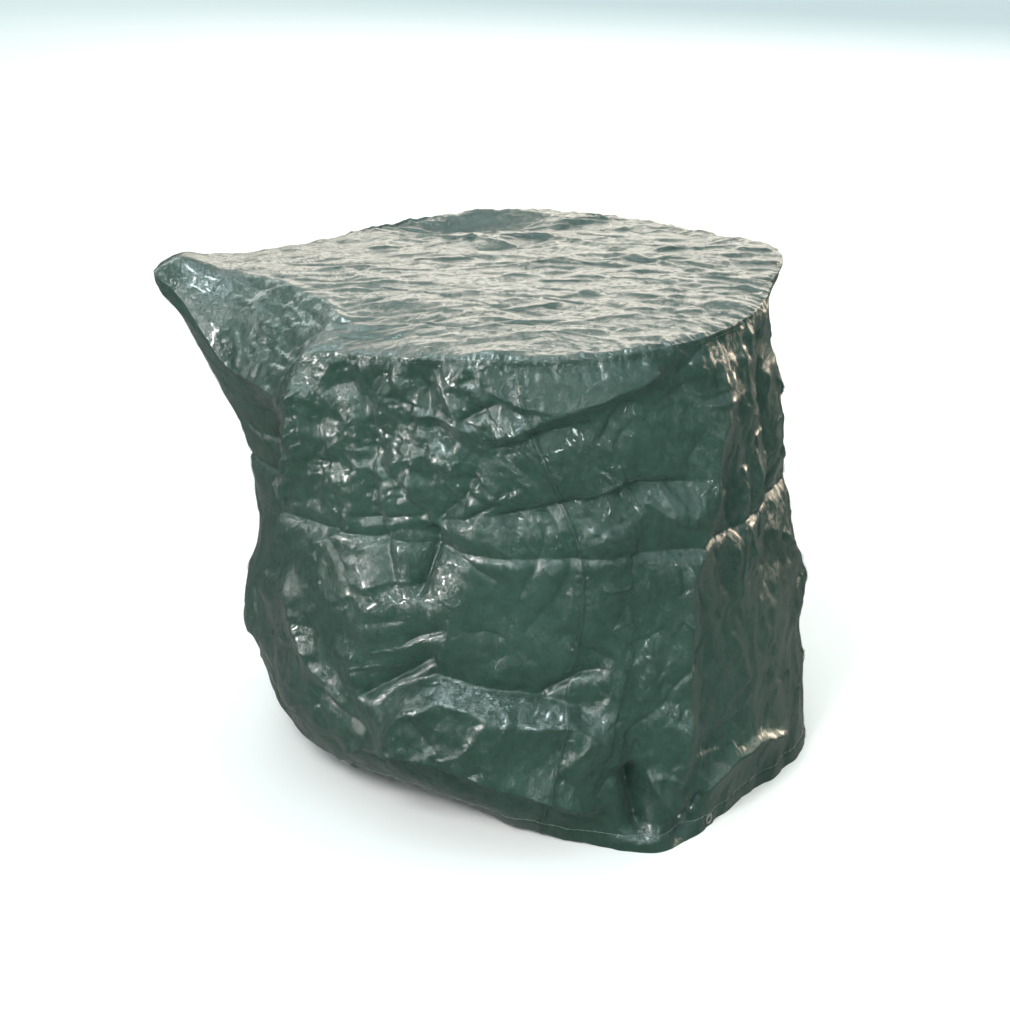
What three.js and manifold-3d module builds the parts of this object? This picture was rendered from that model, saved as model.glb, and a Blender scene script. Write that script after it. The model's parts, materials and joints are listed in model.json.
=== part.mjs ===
// Loose fabric cover for a round-topped grill with a side handle, standing over the grill on its hem.
// Millimetres, +Z up. The origin is on the ground at the middle of the cover's footprint box,
// the handle pokes out towards -X and the front of the cover faces -Y.
import * as THREE from 'three';
import { mergeVertices } from 'three/addons/utils/BufferGeometryUtils.js';
import Module from 'manifold-3d';

// Driving dimensions
const bodyAxisX = 85.5;         // axis of the round body, off the middle because of the handle
const bodyAxisY = -0.8;
const rimRadius = 477;         // round top, before its corners
const hemRadius = 571;         // hem circle, before its folds
const rimHeight = 976;         // seam between top and skirt
const crownHeight = 984;       // flat middle of the top
const crownShare = 0.3;        // share of the top's radius that lies flat
const clothThickness = 2;      // stands in for thin coated cloth
const tapeThickness = 1.5;     // hem fold and seam tapes
const touchGap = 0.3;          // clearance kept between pieces that lie on each other
const hemHeight = 34;
const hemLift = 0.8;           // the folded layer stops just above the ground
const seamAllowance = 26;      // height of the tape under the rim
const sideTapeHalfWidth = 13;
const eyeletHoleRadius = 5.6;
const eyeletBarrelRadius = 6.4;
const eyeletFlangeRadius = 10.8;
const eyeletFlangeThickness = 0.9;
const washerThickness = 0.8;
const eyeletHeight = 18;       // eyelet centre above the ground

// Where the four skirt panels meet, counter-clockwise from the front, in degrees about the body axis
const seamAngles = [-93, -3, 87, 177];
const panelNames = ['front_right', 'back_right', 'back_left', 'front_left'];
const cellsPerPanel = 19;
const eyeletCell = 8;          // cell of each panel that carries the eyelet
const bodyRows = 10;           // rows between the hem and the rim tape
const crownRings = 9;
const roundSides = 20;

// Tent of cloth over the handle: reach past the round wall, degrees the handle holds out flat,
// degrees over which the cloth falls back to the body, depth over which it falls back below the rim
const handleTent = { angle: 176, reach: 284, halfWidth: 4, spread: 16, fade: 190 };
const handleTop = { width: 9, lift: 34, radius: 690, spread: 60 };

// Pushes of the wall around one angle and height: below and above are how far they fade,
// soft is 1 for a sharp fade and 2 for a rounded one
const wallFeatures = [
  { angle: 23, width: 15, reach: 80, height: 980, below: 70, soft: 1 },                // corner, back right
  { angle: -2, width: 15, reach: -22, height: 880, below: 60, above: 60, soft: 2 },
  { angle: -149, width: 11, reach: 45, height: 920, below: 420, soft: 1 },             // corner, front left
  { angle: -168, width: 12, reach: 30, height: 830, below: 60, above: 200, soft: 1 },
  { angle: 178, width: 13, reach: 28, height: 750, below: 170, above: 170, soft: 2 },
  { angle: 148, width: 12, reach: -30, height: 980, below: 200, soft: 1 },
  { angle: -167, width: 9, reach: -65, height: 660, below: 170, above: 110, soft: 2 }, // hollow, left
  { angle: -178, width: 16, reach: 34, height: 310, below: 100, above: 100, soft: 2 },
  { angle: -136, width: 47, reach: -225, height: 34, above: 85, soft: 1 },             // tuck, front left
  { angle: 178, width: 22, reach: -55, height: 34, above: 130, soft: 1 },
  { angle: -104, width: 30, reach: 46, height: 125, below: 80, above: 90, soft: 2 },   // roll, front
  { angle: -65, width: 11, reach: 58, height: 34, above: 130, soft: 1 },
  { angle: -34, width: 15, reach: -40, height: 34, above: 160, soft: 1 },
  { angle: 0, width: 20, reach: 12, height: 380, below: 150, above: 150, soft: 2 },
];
const facetDrop = { angle: -164, width: 17, sharpness: 4, depth: 145, start: 0.76 };
const cornerDrop = { angle: -140, width: 24, depth: 30 };

// Bell of height 1 around one angle
function bell(angle, feature) {
  const turn = THREE.MathUtils.euclideanModulo(angle - feature.angle + 180, 360) - 180;
  return Math.exp(-Math.pow(Math.abs(turn) / feature.width, feature.sharpness ?? 2));
}

function tent(angle) {
  const turn = THREE.MathUtils.euclideanModulo(angle - handleTent.angle + 180, 360) - 180;
  const away = Math.hypot(turn, handleTent.halfWidth) - handleTent.halfWidth;
  return Math.exp(-away / handleTent.spread);
}

function rimZ(angle) {
  const drop = facetDrop.depth * bell(angle, facetDrop) + cornerDrop.depth * bell(angle, cornerDrop);
  return rimHeight - drop;
}

function uprightFade(height, feature) {
  const low = Math.max(feature.height - height, 0) / (feature.below ?? Infinity);
  const high = Math.max(height - feature.height, 0) / (feature.above ?? Infinity);
  return Math.exp(-Math.pow(low + high, feature.soft));
}

// Distance of the wall's outer face from the body axis; the hem itself hangs straight
function wallRadius(angle, anyHeight) {
  const height = Math.max(anyHeight, hemHeight);
  const down = 1 - (height - hemHeight) / (rimHeight - hemHeight);
  const tentDepth = Math.max(rimHeight - height, 0);
  let radius = rimRadius + (hemRadius - rimRadius) * down;
  radius += handleTent.reach * tent(angle) * Math.exp(-tentDepth / handleTent.fade);
  for (const feature of wallFeatures) {
    radius += feature.reach * bell(angle, feature) * uprightFade(height, feature);
  }
  return radius;
}

function rimReach(angle) {
  return wallRadius(angle, rimZ(angle));
}

function onAxis(angle, radius, height) {
  const turn = THREE.MathUtils.degToRad(angle);
  return new THREE.Vector3(
    bodyAxisX + radius * Math.cos(turn), bodyAxisY + radius * Math.sin(turn), height);
}

// Height of the top's upper face at a share of the way from the axis to the rim
function topZ(angle, share) {
  const outward = Math.max((share - crownShare) / (1 - crownShare), 0);
  const onFacet = Math.max((share - facetDrop.start) / (1 - facetDrop.start), 0);
  const facet = facetDrop.depth * bell(angle, facetDrop) * onFacet;
  const rim = rimHeight - cornerDrop.depth * bell(angle, cornerDrop);
  const offKnob = (share * rimReach(angle) - handleTop.radius) / handleTop.spread;
  const knob = handleTop.lift * bell(angle, { angle: handleTent.angle, width: handleTop.width }) *
    Math.exp(-offKnob * offKnob);
  const onRim = share === 1 ? 0 : knob;
  return THREE.MathUtils.lerp(crownHeight, rim, outward * outward) - facet + onRim;
}

// Closed solid between two matching skins; triangles are counter-clockwise seen from outside
function solidBetween(outer, inner, triangles) {
  const shift = outer.length;
  const edges = new Map();
  for (const [a, b, c] of triangles) {
    for (const [from, to] of [[a, b], [b, c], [c, a]]) {
      edges.set(`${from},${to}`, [from, to]);
    }
  }
  const faces = [];
  for (const [a, b, c] of triangles) {
    faces.push(a, b, c, shift + c, shift + b, shift + a);
  }
  for (const [from, to] of edges.values()) {
    if (!edges.has(`${to},${from}`)) {
      faces.push(to, from, shift + from, to, shift + from, shift + to);
    }
  }
  const geometry = new THREE.BufferGeometry();
  const places = [...outer, ...inner].flatMap((point) => point.toArray());
  geometry.setAttribute('position', new THREE.Float32BufferAttribute(places, 3));
  geometry.setIndex(faces);
  return geometry;
}

// Two triangles for each cell of a grid of points stored column by column
function gridTriangles(columns, rows, wraps) {
  const triangles = [];
  const height = rows + 1;
  const last = wraps ? columns : columns - 1;
  for (let column = 0; column < last; column += 1) {
    const here = column * height;
    const next = ((column + 1) % columns) * height;
    for (let row = 0; row < rows; row += 1) {
      triangles.push([here + row, next + row, next + row + 1]);
      triangles.push([here + row, next + row + 1, here + row + 1]);
    }
  }
  return triangles;
}

// Skin following the wall at a set depth below its outer face
function wallSolid(angles, heightsAt, inset, thickness, wraps = false) {
  const outer = [];
  const inner = [];
  for (const angle of angles) {
    for (const height of heightsAt(angle)) {
      const radius = wallRadius(angle, height) - inset;
      outer.push(onAxis(angle, radius, height));
      inner.push(onAxis(angle, radius - thickness, height));
    }
  }
  const rows = heightsAt(angles[0]).length - 1;
  return solidBetween(outer, inner, gridTriangles(angles.length, rows, wraps));
}

// Heights of the wall's rows at one angle, from the ground to just under the top panel
function wallHeights(angle) {
  const top = rimZ(angle) - clothThickness - touchGap;
  const heights = [0];
  for (let row = 0; row <= bodyRows; row += 1) {
    heights.push(THREE.MathUtils.lerp(hemHeight, top - seamAllowance, row / bodyRows));
  }
  heights.push(top);
  return heights;
}

function tapeTurn(angle) {
  return THREE.MathUtils.radToDeg(sideTapeHalfWidth / wallRadius(angle, rimHeight / 2));
}

// Angles of one panel's columns, with a narrow column under each side tape
function panelAngles(index, edgeGap) {
  const start = seamAngles[index];
  const end = start + 90;
  const edge = THREE.MathUtils.radToDeg(edgeGap / 2 / rimRadius);
  const first = start + tapeTurn(start);
  const last = end - tapeTurn(end);
  const angles = [start + edge];
  for (let cell = 0; cell <= cellsPerPanel; cell += 1) {
    angles.push(THREE.MathUtils.lerp(first, last, cell / cellsPerPanel));
  }
  angles.push(end - edge);
  return angles;
}

function ringAngles() {
  const angles = [];
  for (let index = 0; index < seamAngles.length; index += 1) {
    angles.push(...panelAngles(index, 0).slice(0, -1));
  }
  return angles;
}

const wasm = await Module();
wasm.setup();

function toManifold(geometry) {
  const bare = new THREE.BufferGeometry();
  bare.setAttribute('position', geometry.getAttribute('position').clone());
  bare.setIndex(geometry.getIndex().clone());
  const merged = mergeVertices(bare, 1e-4);
  return new wasm.Manifold(new wasm.Mesh({
    numProp: 3,
    vertProperties: new Float32Array(merged.getAttribute('position').array),
    triVerts: new Uint32Array(merged.getIndex().array),
  }));
}

function fromManifold(solid) {
  const mesh = solid.getMesh();
  const geometry = new THREE.BufferGeometry();
  geometry.setAttribute('position', new THREE.Float32BufferAttribute(mesh.vertProperties, 3));
  geometry.setIndex([...mesh.triVerts]);
  return geometry;
}

// Flat frame of the hem at the middle of one panel's eyelet cell: centre and outward normal
function eyeletSeat(index) {
  const angles = panelAngles(index, 0);
  const before = 1 + eyeletCell;
  const left = onAxis(angles[before], wallRadius(angles[before], 0), eyeletHeight);
  const right = onAxis(angles[before + 1], wallRadius(angles[before + 1], 0), eyeletHeight);
  const along = right.clone().sub(left).normalize();
  const normal = along.clone().cross(new THREE.Vector3(0, 0, 1));
  return { centre: left.clone().add(right).multiplyScalar(0.5), normal };
}

// Turns a shape made around +Y so that +Y points along the eyelet's normal, and puts it on its seat
function seatOnHem(mesh, seat) {
  mesh.quaternion.setFromUnitVectors(new THREE.Vector3(0, 1, 0), seat.normal);
  mesh.position.copy(seat.centre);
  return mesh;
}

function eyeletHoleCutter(seat) {
  const cutter = new THREE.Mesh(
    new THREE.CylinderGeometry(
      eyeletBarrelRadius + touchGap, eyeletBarrelRadius + touchGap, 40, roundSides),
  );
  seatOnHem(cutter, seat);
  cutter.updateMatrixWorld();
  return cutter.geometry.applyMatrix4(cutter.matrixWorld);
}

function withEyeletHole(geometry, seat) {
  return fromManifold(toManifold(geometry).subtract(toManifold(eyeletHoleCutter(seat))));
}

// Ring turned from a closed profile of [radius, height] points
function turnedRing(profile) {
  const points = [...profile, profile[0]].map(([radius, height]) => new THREE.Vector2(radius, height));
  return mergeVertices(new THREE.LatheGeometry(points, roundSides).deleteAttribute('normal')
    .deleteAttribute('uv'), 1e-4);
}

const hemStack = clothThickness + 2 * touchGap + tapeThickness;
const stackSlack = 0.3;        // room for the hem's slight curve under the metal

// Domed flange outside, barrel through the hem
function eyeletGeometry() {
  const face = touchGap;
  const barrelEnd = -hemStack - stackSlack - washerThickness - 0.6;
  return turnedRing([
    [eyeletHoleRadius, barrelEnd],
    [eyeletBarrelRadius, barrelEnd],
    [eyeletBarrelRadius, face],
    [eyeletFlangeRadius, face],
    [eyeletFlangeRadius - 0.7, face + eyeletFlangeThickness],
    [eyeletBarrelRadius, face + eyeletFlangeThickness],
    [eyeletHoleRadius, face + eyeletFlangeThickness / 2],
  ]);
}

function washerGeometry() {
  const outerFace = -hemStack - stackSlack;
  return turnedRing([
    [eyeletBarrelRadius + touchGap, outerFace - washerThickness],
    [eyeletFlangeRadius - 0.3, outerFace - washerThickness],
    [eyeletFlangeRadius - 0.3, outerFace],
    [eyeletBarrelRadius + touchGap, outerFace],
  ]);
}

// Round top with the tent that runs out over the handle
function topPanelGeometry() {
  const angles = ringAngles();
  const outer = [onAxis(0, 0, crownHeight)];
  for (const angle of angles) {
    for (let ring = 0; ring <= crownRings; ring += 1) {
      const share = THREE.MathUtils.lerp(crownShare, 1, ring / crownRings);
      outer.push(onAxis(angle, share * rimReach(angle), topZ(angle, share)));
    }
  }
  const inner = outer.map((point) => point.clone().setZ(point.z - clothThickness));
  const height = crownRings + 1;
  const triangles = gridTriangles(angles.length, crownRings, true)
    .map(([a, b, c]) => [a + 1, c + 1, b + 1]);
  for (let column = 0; column < angles.length; column += 1) {
    const next = (column + 1) % angles.length;
    triangles.push([0, column * height + 1, next * height + 1]);
  }
  return solidBetween(outer, inner, triangles);
}

function skirtPanelGeometry(index) {
  const angles = panelAngles(index, touchGap);
  const panel = wallSolid(angles, wallHeights, 0, clothThickness);
  return withEyeletHole(panel, eyeletSeat(index));
}

// Folded layer inside the hem of one panel
function hemFoldGeometry(index) {
  const angles = panelAngles(index, touchGap);
  const inset = clothThickness + touchGap;
  const fold = wallSolid(angles, () => [hemLift, hemHeight], inset, tapeThickness);
  return withEyeletHole(fold, eyeletSeat(index));
}

// Tape inside each side seam, between the hem fold and the rim tape
function sideTapeGeometry(index) {
  const seam = seamAngles[index];
  const turn = tapeTurn(seam);
  const heightsAt = (angle) => {
    const rows = wallHeights(angle).slice(1, -1);
    rows[0] += touchGap;
    rows[rows.length - 1] -= touchGap;
    return rows;
  };
  const inset = clothThickness + touchGap;
  return wallSolid([seam - turn, seam, seam + turn], heightsAt, inset, tapeThickness);
}

// Ring of tape inside the skirt, just under the top panel
function rimTapeGeometry() {
  const heightsAt = (angle) => {
    const rows = wallHeights(angle).slice(-2);
    return [rows[0], rows[1] - touchGap];
  };
  const inset = clothThickness + touchGap;
  return wallSolid(ringAngles(), heightsAt, inset, tapeThickness, true);
}

const clothLook = { color: 0x47584f, roughness: 0.42, metalness: 0 };
const tapeLook = { color: 0x3a4841, roughness: 0.55, metalness: 0 };
const metalLook = { color: 0xc4c2bf, roughness: 0.35, metalness: 0.9 };

const cover = new THREE.Group();

function addPiece(name, geometry, look) {
  const mesh = new THREE.Mesh(geometry, new THREE.MeshStandardMaterial(look));
  mesh.name = name;
  cover.add(mesh);
  return mesh;
}

addPiece('top_panel', topPanelGeometry(), clothLook);
addPiece('rim_seam_tape', rimTapeGeometry(), tapeLook);
panelNames.forEach((name, index) => {
  addPiece(`skirt_${name}`, skirtPanelGeometry(index), clothLook);
  addPiece(`hem_fold_${name}`, hemFoldGeometry(index), tapeLook);
  const seat = eyeletSeat(index);
  seatOnHem(addPiece(`eyelet_${name}`, eyeletGeometry(), metalLook), seat);
  seatOnHem(addPiece(`eyelet_washer_${name}`, washerGeometry(), metalLook), seat);
});
['front', 'right', 'back', 'left'].forEach((side, index) => {
  addPiece(`side_seam_tape_${side}`, sideTapeGeometry(index), tapeLook);
});

export default cover;
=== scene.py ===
import json
import math

import bpy
import numpy as np
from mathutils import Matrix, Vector
from mathutils.geometry import delaunay_2d_cdt


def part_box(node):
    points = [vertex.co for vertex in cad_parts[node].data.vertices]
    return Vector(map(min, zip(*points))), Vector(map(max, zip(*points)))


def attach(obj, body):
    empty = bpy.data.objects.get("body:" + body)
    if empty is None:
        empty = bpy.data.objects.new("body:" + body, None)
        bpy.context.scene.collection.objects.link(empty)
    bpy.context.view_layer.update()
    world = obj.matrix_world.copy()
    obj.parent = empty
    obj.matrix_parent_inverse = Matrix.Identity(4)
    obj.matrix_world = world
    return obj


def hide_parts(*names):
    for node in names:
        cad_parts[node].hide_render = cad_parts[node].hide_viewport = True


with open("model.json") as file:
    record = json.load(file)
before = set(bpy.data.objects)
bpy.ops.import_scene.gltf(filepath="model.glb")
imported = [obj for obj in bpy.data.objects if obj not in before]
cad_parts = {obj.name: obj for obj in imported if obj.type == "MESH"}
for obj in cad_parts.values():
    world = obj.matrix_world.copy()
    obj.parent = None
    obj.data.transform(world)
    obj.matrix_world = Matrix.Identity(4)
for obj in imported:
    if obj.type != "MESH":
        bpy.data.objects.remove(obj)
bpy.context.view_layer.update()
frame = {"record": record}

# ---------------------------------------------------------------- places taken from the frame
mounts = {mount["name"]: mount for mount in frame["record"]["mounts"]}
AXIS_X, AXIS_Y, LID_Z = mounts["lid_rest"]["pos_m"]
RIM_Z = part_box("rim_seam_tape")[1].z

# ---------------------------------------------------------------- shape of the cover
# The cover is one sheet laid out on a flat disc: the top fills the middle, out to 1, and the
# skirt is the ring from 1, at the rim, to 2, at the hem. Angles are in degrees about the body axis.
RIM_RADIUS = 0.474
HEM_RADIUS = 0.568
CROWN_Z = LID_Z + 0.004
COARSE_CELL = 0.026      # spacing of the first net
COLUMNS = 128            # of the first net's skirt, a whole number for each of the four panels
ROWS = 40
FINEST = 8               # times finer that the last net is
SEAM_ANGLES = [-93, -3, 87, 177]
PANELS = ["front_right", "back_right", "back_left", "front_left"]
SIDES = ["front", "right", "back", "left"]

HANDLE_ANGLE = 176
HANDLE_REACH = 0.284     # how far the tent runs out past the round rim
HANDLE_HALF_WIDTH = 4    # degrees that the handle holds out flat
TENT_SPREAD = 16         # degrees over which the tent falls back to the round body
TENT_FALL = 0.19         # height over which it falls back below the rim

# Pushes of the wall: middle angle and width in degrees, height and spread in metres
WALL_PUSHES = [
    dict(name="back right corner", angle=23, width=15, reach=0.08, height=0.98, below=0.07),
    dict(name="notch under the corner", angle=-2, width=15, reach=-0.022, height=0.88, below=0.06,
         above=0.06, soft=2),
    dict(name="front left corner", angle=-149, width=11, reach=0.045, height=0.92, below=0.42),
    dict(name="tent eave", angle=-168, width=12, reach=0.03, height=0.83, below=0.06, above=0.2),
    dict(name="tent underside", angle=178, width=13, reach=0.028, height=0.75, below=0.17, above=0.17,
         soft=2),
    dict(name="back of the tent", angle=148, width=12, reach=-0.03, height=0.98, below=0.2),
    dict(name="left hollow", angle=-163, width=11, reach=-0.07, height=0.66, below=0.17, above=0.11,
         soft=2),
    dict(name="left belly", angle=-178, width=16, reach=0.034, height=0.31, below=0.1, above=0.1, soft=2),
    dict(name="front left tuck", angle=-136, width=47, reach=-0.225, height=0, above=0.085),
    dict(name="tuck under the roll", angle=-112, width=20, reach=-0.062, height=0, above=0.06),
    dict(name="left tuck", angle=178, width=22, reach=-0.055, height=0, above=0.13),
    dict(name="front right fold", angle=-65, width=11, reach=0.058, height=0, above=0.13),
    dict(name="right hollow", angle=-34, width=15, reach=-0.04, height=0, above=0.16),
    dict(name="right belly", angle=0, width=20, reach=0.012, height=0.38, below=0.15, above=0.15, soft=2),
    dict(name="right side flat", angle=-22, width=15, reach=-0.014, height=0.6, below=0.4, above=0.3,
         soft=2),
]
FACET_DROP = dict(angle=-164, width=17, sharp=4, depth=0.145, start=0.76)
CORNER_DROP = dict(angle=-140, width=24, depth=0.030)
HANDLE_LIFT = dict(lift=0.034, radius=0.690, spread=0.060, width=9)
BACK_HOLLOW = dict(x=-0.125, y=0.36, half_x=0.15, half_y=0.055, depth=0.034)
BACK_LIP = dict(angle=98, width=26, lift=0.008)
HEM_LIFT = dict(angle=-134, width=36, lift=0.050)
SEAM_WANDER = dict(angle=-93, width=34, slide=14)

# Creases of the wall: name, points as (angle, height), reach outwards, and the widths of its two sides,
# above and below. Above is the side on the left of the way the points run, seen from outside.
# The unrolled wall is cut at 90 degrees. "back slant" crosses the cut, so its last stretch runs the
# long way round and leaves a groove about 12 mm deep round the whole cover.
CREASES = [
    ("upper lip", [(-104, 0.815), (-92, 0.842), (-84, 0.873), (-76, 0.89), (-68, 0.912), (-56, 0.934)],
     0.03, 0.055, 0.01),
    ("upper branch", [(-75, 0.8), (-72, 0.854), (-69, 0.905)], -0.012, 0.01, 0.03),
    ("under the lip", [(-101, 0.79), (-85, 0.835), (-73, 0.85)], -0.015, 0.012, 0.03),
    ("middle lip", [(-103, 0.662), (-92, 0.672), (-82, 0.69), (-66, 0.712), (-49, 0.706)], -0.029, 0.014,
     0.04),
    ("small lip", [(-80, 0.69), (-68, 0.733)], 0.014, 0.01, 0.022),
    ("right patch", [(-66, 0.69), (-60, 0.65), (-53, 0.615)], 0.012, 0.03, 0.012),
    ("leaf", [(-79, 0.64), (-72, 0.622), (-66, 0.585)], 0.014, 0.012, 0.03),
    ("brow", [(-117, 0.85), (-108, 0.852), (-100, 0.82)], 0.014, 0.012, 0.02),
    ("brow fold", [(-106, 0.849), (-96, 0.895)], -0.012, 0.01, 0.01),
    ("star up right", [(-112, 0.64), (-104, 0.7), (-101, 0.76)], -0.021, 0.022, 0.01),
    ("star down", [(-112, 0.65), (-112, 0.58), (-115, 0.486)], -0.03, 0.01, 0.018),
    ("star up left", [(-112, 0.64), (-119, 0.7), (-127, 0.755)], -0.017, 0.01, 0.016),
    ("star left", [(-112, 0.655), (-121, 0.64), (-132, 0.625)], -0.017, 0.02, 0.008),
    ("star right", [(-112, 0.64), (-104, 0.655), (-96, 0.7)], -0.017, 0.01, 0.014),
    ("star low right", [(-111, 0.6), (-103, 0.57), (-95, 0.53)], -0.009, 0.014, 0.008),
    ("left upright", [(-128, 0.93), (-127, 0.8), (-126, 0.66), (-121, 0.54), (-117, 0.44)], -0.016, 0.016,
     0.026),
    ("centre upright", [(-86, 0.66), (-88, 0.58), (-93, 0.5)], -0.009, 0.012, 0.02),
    ("centre fan", [(-80, 0.6), (-84, 0.52), (-92, 0.43)], -0.01, 0.035, 0.01),
    ("front shade", [(-99, 0.52), (-100, 0.44), (-97, 0.36)], -0.01, 0.04, 0.02),
    ("right ridge", [(-43, 0.97), (-43, 0.838), (-47, 0.78), (-49, 0.65), (-56, 0.52), (-58, 0.28),
     (-59, 0.1)], 0.036, 0.045, 0.06),
    ("right side fold", [(-33, 0.96), (-32, 0.8), (-28, 0.66), (-25, 0.52)], 0.016, 0.022, 0.03),
    ("right side crease", [(-24, 0.95), (-22, 0.8), (-17, 0.64), (-15, 0.5)], -0.014, 0.02, 0.012),
    ("right side crease two", [(-14, 0.93), (-10, 0.74), (-7, 0.58)], 0.012, 0.014, 0.025),
    ("right belly line", [(-19, 0.52), (-10, 0.47), (-3, 0.4), (-1, 0.26)], 0.012, 0.018, 0.05),
    ("front left edge", [(-143, 0.93), (-143, 0.86), (-144, 0.78), (-147, 0.68), (-150, 0.57),
     (-154, 0.47), (-158, 0.38), (-161, 0.31)], 0.04, 0.06, 0.034),
    ("waist over the roll", [(-124, 0.255), (-118, 0.31), (-110, 0.345), (-98, 0.325), (-84, 0.305),
     (-72, 0.26)], -0.034, 0.06, 0.014),
    ("roll top", [(-123, 0.18), (-119, 0.212), (-117, 0.25), (-114, 0.29), (-108, 0.312), (-101, 0.3),
     (-95, 0.278), (-89, 0.272), (-82, 0.272), (-76, 0.235), (-69, 0.18)], 0.032, 0.016, 0.075),
    ("roll edge", [(-128, 0.15), (-121, 0.18), (-114, 0.196), (-108, 0.186), (-102, 0.168), (-96, 0.152),
     (-87, 0.124), (-79, 0.094), (-73, 0.082)], 0.062, 0.1, 0.012),
    ("roll hollow", [(-113, 0.285), (-111, 0.249), (-108, 0.212)], -0.014, 0.012, 0.016),
    ("roll shade", [(-86, 0.25), (-84, 0.172), (-77, 0.1)], -0.012, 0.03, 0.012),
    ("left edge", [(-148, 0.5), (-145, 0.37), (-140, 0.305), (-134, 0.262), (-127, 0.215)], 0.02, 0.028,
     0.05),
    ("left pleat", [(-142, 0.265), (-134, 0.222), (-128, 0.196), (-121, 0.185)], -0.02, 0.014, 0.02),
    ("pinch", [(-136, 0.12), (-129, 0.145), (-122, 0.192)], 0.018, 0.01, 0.016),
    ("low crease one", [(-128, 0.268), (-115, 0.347), (-108, 0.394)], -0.021, 0.03, 0.008),
    ("low crease two", [(-118, 0.391), (-114, 0.417), (-107, 0.441)], -0.01, 0.02, 0.007),
    ("low crease three", [(-93, 0.267), (-89, 0.286), (-87, 0.319), (-80, 0.353), (-73, 0.366)], -0.019,
     0.024, 0.008),
    ("low crease four", [(-84, 0.46), (-79, 0.41), (-72, 0.38)], -0.009, 0.008, 0.024),
    ("pocket", [(-70, 0.185), (-68.5, 0.1), (-67.5, 0.02)], -0.055, 0.014, 0.02),
    ("pocket ridge", [(-67, 0.17), (-66, 0.131), (-64, 0.091), (-61, 0.044), (-59, 0.03)], 0.02, 0.016,
     0.008),
    ("corner crease", [(-61, 0.037), (-57, 0.06), (-53, 0.09)], -0.02, 0.012, 0.012),
    ("corner fold", [(-57, 0.05), (-52, 0.094), (-45, 0.115), (-35, 0.126), (-16, 0.074)], 0.024, 0.018,
     0.028),
    ("corner upright", [(-60, 0.04), (-60, 0.16), (-58, 0.28)], 0.012, 0.02, 0.02),
    ("back fold", [(60, 0.93), (66, 0.6), (72, 0.2)], 0.016, 0.04, 0.02),
    ("back slant", [(110, 0.8), (95, 0.62), (84, 0.55)], -0.013, 0.03, 0.01),
    ("back low fold", [(128, 0.4), (112, 0.22), (104, 0.03)], 0.018, 0.03, 0.04),
    ("back right fold", [(30, 0.88), (24, 0.6), (28, 0.3), (25, 0.06)], 0.014, 0.025, 0.05),
    ("back left fold", [(150, 0.86), (146, 0.55), (152, 0.2)], -0.014, 0.03, 0.02),
]
# Round dents and bumps of the wall: angle, height, reach outwards and radius
DENTS = [
    (-112, 0.62, -0.026, 0.06),
    (-60, 0.035, -0.022, 0.03),
    (-58, 0.655, 0.014, 0.045),
    (-74, 0.605, 0.014, 0.04),
    (-92, 0.45, -0.014, 0.11),
    (-128, 0.44, 0.012, 0.1),
    (-20, 0.5, -0.012, 0.1),
    (75, 0.45, -0.02, 0.12),
    (130, 0.6, 0.014, 0.11),
]
# Where the cloth is crumpled most: angle, height, spread around and up, and the gain added there
CRUMPLED = [
    (-130, 0.88, 0.22, 0.11, 1.5),
    (-122, 0.77, 0.17, 0.12, 1.1),
    (-58, 0.67, 0.09, 0.07, 0.8),
    (-110, 0.6, 0.18, 0.1, 0.5),
    (-25, 0.78, 0.18, 0.22, 0.7),
    (-60, 0.8, 0.16, 0.12, 0.35),
    (-95, 0.24, 0.3, 0.09, 0.75),
    (-70, 0.14, 0.16, 0.09, 0.6),
    (-98, 0.8, 0.22, 0.12, 0.15),
]


CREASE_MARGIN = 6        # widths from its line out to which a crease is worked out
CREASE_TAPER = 0.2       # share of its length over which each end of a crease fades


def turn_from(angle, centre):
    """Signed turn from the centre to the angle, in degrees from -180 to 180."""
    return (angle - centre + 180) % 360 - 180


def bell(angle, feature):
    away = np.abs(turn_from(angle, feature["angle"])) / feature["width"]
    return np.exp(-away ** feature.get("sharp", 2))


def tent(angle):
    away = np.hypot(turn_from(angle, HANDLE_ANGLE), HANDLE_HALF_WIDTH) - HANDLE_HALF_WIDTH
    return np.exp(-away / TENT_SPREAD)


def rim_z(angle):
    drop = FACET_DROP["depth"] * bell(angle, FACET_DROP) + CORNER_DROP["depth"] * bell(angle, CORNER_DROP)
    return RIM_Z - drop + BACK_LIP["lift"] * bell(angle, BACK_LIP)


def upright_fade(height, push):
    low = np.maximum(push["height"] - height, 0) / push.get("below", 1e9)
    high = np.maximum(height - push["height"], 0) / push.get("above", 1e9)
    return np.exp(-(low + high) ** push.get("soft", 1))


def wall_radius(angle, height):
    down = 1 - np.maximum(height, 0) / RIM_Z
    radius = RIM_RADIUS + (HEM_RADIUS - RIM_RADIUS) * down
    radius = radius + HANDLE_REACH * tent(angle) * np.exp(-np.maximum(RIM_Z - height, 0) / TENT_FALL)
    for push in WALL_PUSHES:
        radius = radius + push["reach"] * bell(angle, push) * upright_fade(height, push)
    return radius


def smooth_step(x):
    x = np.clip(x, 0, 1)
    return x * x * (3 - 2 * x)


def unrolled(angle, height):
    return np.stack([np.radians(turn_from(angle, -90)) * (RIM_RADIUS + HEM_RADIUS) / 2, height], axis=-1)


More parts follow.
